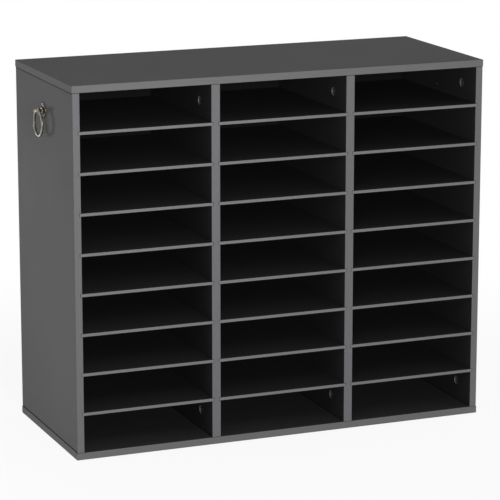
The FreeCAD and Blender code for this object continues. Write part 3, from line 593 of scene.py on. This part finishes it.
def dress_boards():
    x_axis = (1, 0, 0)
    z_axis = (0, 0, 1)
    dress("top_panel", board_finish("top_panel", z_axis, ["Low"], banded_ends=True))
    # the bottom board's inner face gets a lighter copy of the black film, which is painted light
    bottom = board_finish("bottom_panel", z_axis, ["High"], BOTTOM_FILM_PAINTED_LIGHT, banded_ends=True)
    dress("bottom_panel", bottom)
    dress("left_side_panel", board_finish("left_side_panel", x_axis, ["High"]))
    dress("right_side_panel", board_finish("right_side_panel", x_axis, ["Low"]))
    for divider in ("left_divider", "right_divider"):
        dress(divider, board_finish(divider, x_axis, ["Low", "High"]))
    shelf_film = shelf_finish()
    for shelf in SHELF_NODES:
        dress(shelf, shelf_film)
    dress("back_panel", hardboard_finish())


def dress_fittings(zinc, ring_brass):
    steel = metal_finish(
        "zinc_plate",
        STEEL_PLATE,
        STEEL_TINT,
        grain_size=500.0,
        rubbed=(0.40, 0.52),
        roughness=(0.42, 0.26),
        relief=0.02 * MM,
    )
    dress("cam_locks", zinc)
    dress("dowels", beech_finish())
    for node in ("cam_bolts", "back_panel_screws", "left_pull_screw", "right_pull_screw"):
        dress(node, steel)
    plate_brass = brass_finish("antique_brass", (0.49, 0.59), (0.48, 0.26), 0.03 * MM)
    knob_brass = brass_finish("rubbed_brass", (0.44, 0.54), (0.46, 0.31), 0.02 * MM)
    for side in SIDES:
        dress(f"{side}_pull_rosette", plate_brass)
        dress(f"{side}_pull_post", knob_brass)
        dress(f"{side}_pull_ring", ring_brass)


CAST_ZINC = cam_finish()
HANDLED_BRASS = brass_finish("handled_brass", (0.48, 0.58), (0.42, 0.20), 0.02 * MM)
dress_boards()
dress_fittings(CAST_ZINC, HANDLED_BRASS)


# --- Pieces made here ---------------------------------------------------------------------------

def tree_result(recipe, result, geometry, material):
    """End a geometry tree: real faces with the finish on them."""
    solid = recipe.add("GeometryNodeRealizeInstances", {"Geometry": geometry})
    painted = recipe.add("GeometryNodeSetMaterial", {"Geometry": solid, "Material": material})
    recipe.feed(result["Geometry"], painted)
    return recipe.tree


def link_object(name, data):
    made = bpy.data.objects.new(name, data)
    bpy.context.scene.collection.objects.link(made)
    return made


def grow(name, tree, seed_mesh, body):
    """Run a geometry tree on a seed mesh and keep what it makes as a plain mesh riding on a body."""
    grower = link_object(f"{name}_grower", seed_mesh)
    modifier = grower.modifiers.new("shape", "NODES")
    modifier.node_group = tree
    bpy.context.view_layer.update()
    evaluated = grower.evaluated_get(bpy.context.evaluated_depsgraph_get())
    mesh = bpy.data.meshes.new_from_object(evaluated)
    mesh.name = name
    bpy.data.objects.remove(grower)
    piece = link_object(name, mesh)
    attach(piece, body)
    return piece


def make_cam_marks_tree(material):
    """On every cam's dish: a raised line round the driver recess and an arrow towards the bolt."""
    recipe, given, result = new_group(
        "cam_marks",
        "GeometryNodeTree",
        [
            ("Cam places", "NodeSocketGeometry", None),
            ("Boss radius", "NodeSocketFloat", 3.7 * MM),
            ("Line width", "NodeSocketFloat", 0.4 * MM),
            ("Mark height", "NodeSocketFloat", 0.35 * MM),
            ("Arrow size", "NodeSocketFloat", 1.1 * MM),
            ("Arrow distance", "NodeSocketFloat", 5.1 * MM),
        ],
        [("Geometry", "NodeSocketGeometry")],
    )
    boss_sizes = {"Resolution": 40, "Radius": given["Boss radius"]}
    boss = recipe.add("GeometryNodeCurvePrimitiveCircle", boss_sizes)
    half_sunk = recipe.math("MULTIPLY", given["Mark height"], 2.0)
    section = {"Width": given["Line width"], "Height": half_sunk}
    line = recipe.add("GeometryNodeCurvePrimitiveQuadrilateral", section)
    boss_line = recipe.add("GeometryNodeCurveToMesh", {"Curve": boss, "Profile Curve": line})
    arrow_sizes = {"Vertices": 3, "Radius": given["Arrow size"], "Depth": half_sunk}
    arrow = recipe.add("GeometryNodeMeshCylinder", arrow_sizes)
    ahead = recipe.add("ShaderNodeCombineXYZ", {"Y": given["Arrow distance"]})
    arrow = recipe.add("GeometryNodeTransform", {"Geometry": arrow, "Translation": ahead})
    mark = recipe.node("GeometryNodeJoinGeometry")
    for piece in (boss_line, arrow):
        recipe.tree.links.new(piece, mark.inputs["Geometry"])
    turn = recipe.add("GeometryNodeInputNamedAttribute", {"Name": "turn"}, data_type="FLOAT_VECTOR")
    placed = {"Points": given["Cam places"], "Instance": mark.outputs[0], "Rotation": turn}
    marks = recipe.add("GeometryNodeInstanceOnPoints", placed)
    return tree_result(recipe, result, marks, material)


def make_cam_marks():
    """Marks on the sixteen cams: four in each upright, on the face that takes them."""
    left_faced = (math.pi / 2, 0, -math.pi / 2)
    right_faced = (math.pi / 2, 0, math.pi / 2)
    sunk = CAM_BELOW_FACE + CAM_DISH_DEPTH
    faces = [
        (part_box("left_side_panel")[1].x - sunk, right_faced),
        (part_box("left_divider")[0].x + sunk, left_faced),
        (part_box("right_divider")[0].x + sunk, left_faced),
        (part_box("right_side_panel")[0].x + sunk, left_faced),
    ]
    depths = (FRONT + CAM_FROM_FRONT, BACK - CAM_FROM_FRONT)
    upper = (INNER_TOP - CAM_FROM_END, (0, 0, 0))
    lower = (INNER_BOTTOM + CAM_FROM_END, (0, math.pi, 0))
    places = []
    turns = []
    for x, faced in faces:
        for y in depths:
            for z, half_turn in (upper, lower):
                places.append((x, y, z))
                turns.append(Vector(faced) + Vector(half_turn))
    seed_mesh = bpy.data.meshes.new("cam_places")
    seed_mesh.from_pydata(places, [], [])
    turn = seed_mesh.attributes.new("turn", "FLOAT_VECTOR", "POINT")
    for item, value in zip(turn.data, turns):
        item.vector = value
    grow("cam_marks", make_cam_marks_tree(CAST_ZINC), seed_mesh, "cabinet")


def make_ring_tree(material):
    """A round wire bent to a ring, closed by the straight pin that runs through the post's eye."""
    recipe, given, result = new_group(
        "pull_ring",
        "GeometryNodeTree",
        [
            ("Place", "NodeSocketGeometry", None),
            ("Bend radius", "NodeSocketFloat", RING_RADIUS),
            ("Half pin", "NodeSocketFloat", RING_HALF_PIN),
            ("Wire radius", "NodeSocketFloat", RING_WIRE_RADIUS),
            ("Cast unevenness", "NodeSocketFloat", 0.05 * MM),
        ],
        [("Geometry", "NodeSocketGeometry")],
    )
    share = recipe.math("DIVIDE", given["Half pin"], given["Bend radius"])
    opening = recipe.math("ARCSINE", share)
    start = recipe.math("ADD", opening, math.pi / 2)
    sweep = recipe.math("SUBTRACT", 2 * math.pi, recipe.math("MULTIPLY", opening, 2.0))
    bend = {
        "Resolution": 120,
        "Radius": given["Bend radius"],
        "Start Angle": start,
        "Sweep Angle": sweep,
    }
    arc = recipe.add("GeometryNodeCurveArc", bend, mode="RADIUS")
    path = recipe.add("GeometryNodeSetSplineCyclic", {"Geometry": arc, "Cyclic": True})
    section = {"Resolution": 28, "Radius": given["Wire radius"]}
    circle = recipe.add("GeometryNodeCurvePrimitiveCircle", section)
    wire = recipe.add("GeometryNodeCurveToMesh", {"Curve": path, "Profile Curve": circle})
    hanging = (math.pi / 2, 0, math.pi / 2)
    upright = recipe.add("GeometryNodeTransform", {"Geometry": wire, "Rotation": hanging})
    here = recipe.add("GeometryNodeInputPosition")
    hollows = recipe.math("SUBTRACT", recipe.noise(here, scale=260.0), 1.0)
    outward = recipe.add("GeometryNodeInputNormal")
    depth = recipe.math("MULTIPLY", hollows, given["Cast unevenness"])
    offset = recipe.shade(outward, depth)
    cast = recipe.add("GeometryNodeSetPosition", {"Geometry": upright, "Offset": offset})
    ring = recipe.add("GeometryNodeInstanceOnPoints", {"Points": given["Place"], "Instance": cast})
    return tree_result(recipe, result, ring, material)


def make_rings():
    tree = make_ring_tree(HANDLED_BRASS)
    for side in SIDES:
        low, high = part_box(f"{side}_pull_ring")
        middle = (low + high) / 2
        middle.z = low.z + RING_WIRE_RADIUS + RING_RADIUS
        seed_mesh = bpy.data.meshes.new(f"{side}_ring_place")
        seed_mesh.from_pydata([middle], [], [])
        ring = grow(f"{side}_ring_wire", tree, seed_mesh, f"{side}_ring")
        ring.data.shade_smooth()
        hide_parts(f"{side}_pull_ring")


make_cam_marks()
make_rings()


# --- Studio -------------------------------------------------------------------------------------

SKY_LEVEL = 0.345
FLOOR_GAP = 0.3 * MM  # the floor lies this far below the bottom board
FLOOR_HALF_SIZE = 12.0
FLOOR_PAINT = (0.86, 0.86, 0.86)
FLOOR_SHADOW_SHARE = 0.10
SHADOW_FULL = 0.55  # distance from the middle up to which the floor keeps its shadow
SHADOW_GONE = 1.30

CAMERA_PLACE = (-1.6655, -4.0685, 1.305)
CAMERA_DOWN = 12.94  # degrees below level
CAMERA_RIGHT = 22.28  # degrees to the right of straight back
CAMERA_LENS = 186.2  # focal length in millimetres
CAMERA_FRAME = 36.0  # width of the sensor in millimetres
CAMERA_REACH = 100.0

# name, place, what it points at, edge length in metres and power in watts
SOFTBOXES = (
    ("key_softbox", (-1.0, -6.0, 1.4), (0, 0, 0.32), 0.8, 280.0),
    ("front_corner_light", (-0.28, -0.72, 0.68), (-0.37, -0.15, 0.6), 0.3, 1.3),
    ("left_softbox", (-0.85, -0.10, 0.14), (-0.37, -0.10, 0.14), 0.25, 0.82),
    ("rear_left_light", (-1.0, 1.95, 0.15), (-0.37, 0, 0.45), 0.22, 8.4),
    ("right_softbox", (3.2, 0.3, 0.4), (0, 0, 0.32), 1.8, 60.0),
    ("rear_softbox", (0.7, 3.2, 0.25), (0, 0.15, 0.3), 0.7, 40.0),
)


def seen_directly(recipe):
    """1 for rays from the camera, from gloss or through glass, which see a white backdrop."""
    node = recipe.tree.nodes.new("ShaderNodeLightPath")
    gloss = recipe.math("MAXIMUM", node.outputs["Is Camera Ray"], node.outputs["Is Glossy Ray"])
    return recipe.math("MAXIMUM", gloss, node.outputs["Is Transmission Ray"])


def make_world():
    """White backdrop, with plain even light of its own on the object."""
    world = bpy.data.worlds.new("studio")
    world.use_nodes = True
    world.node_tree.nodes.clear()
    recipe = Recipe(world.node_tree)
    sky = (SKY_LEVEL, SKY_LEVEL, SKY_LEVEL)
    colour = recipe.mix(seen_directly(recipe), sky, WHITE)
    background = recipe.add("ShaderNodeBackground", {"Color": colour})
    recipe.node("ShaderNodeOutputWorld", {"Surface": background})
    bpy.context.scene.world = world


def make_floor():
    """Pale floor that keeps a faint shadow under the object and turns into the backdrop round it."""
    mesh = bpy.data.meshes.new("floor")
    signs = ((-1, -1), (1, -1), (1, 1), (-1, 1))
    corners = [(x * FLOOR_HALF_SIZE, y * FLOOR_HALF_SIZE, -FLOOR_GAP) for x, y in signs]
    mesh.from_pydata(corners, [], [(0, 1, 2, 3)])
    floor = link_object("floor", mesh)
    material, recipe = new_material("floor_white")
    paint = recipe.add("ShaderNodeBsdfDiffuse", {"Color": FLOOR_PAINT})
    backdrop = recipe.add("ShaderNodeEmission", {"Color": WHITE})
    distance = recipe.vector("LENGTH", recipe.position(), out="Value")
    near = recipe.ramp(distance, SHADOW_FULL, SHADOW_GONE, FLOOR_SHADOW_SHARE, 0.0)
    share = recipe.math("MULTIPLY", seen_directly(recipe), recipe.math("SUBTRACT", 1.0, near))
    shader = recipe.add("ShaderNodeMixShader", {0: share, 1: paint, 2: backdrop})
    recipe.node("ShaderNodeOutputMaterial", {"Surface": shader})
    mesh.materials.append(material)


def add_softbox(name, place, aim, size, power):
    light = bpy.data.lights.new(name, "AREA")
    light.shape = "SQUARE"
    light.size = size
    light.energy = power
    lamp = link_object(name, light)
    lamp.location = place
    lamp.rotation_euler = (Vector(aim) - Vector(place)).to_track_quat("-Z", "Y").to_euler()


def make_camera():
    camera = link_object("camera", bpy.data.cameras.new("camera"))
    camera.location = CAMERA_PLACE
    camera.rotation_euler = (math.radians(90 - CAMERA_DOWN), 0, math.radians(-CAMERA_RIGHT))
    camera.data.sensor_width = CAMERA_FRAME
    camera.data.lens = CAMERA_LENS
    camera.data.clip_end = CAMERA_REACH
    bpy.context.scene.camera = camera


make_world()
make_floor()
for softbox in SOFTBOXES:
    add_softbox(*softbox)
make_camera()
bpy.context.scene.view_settings.view_transform = "Standard"
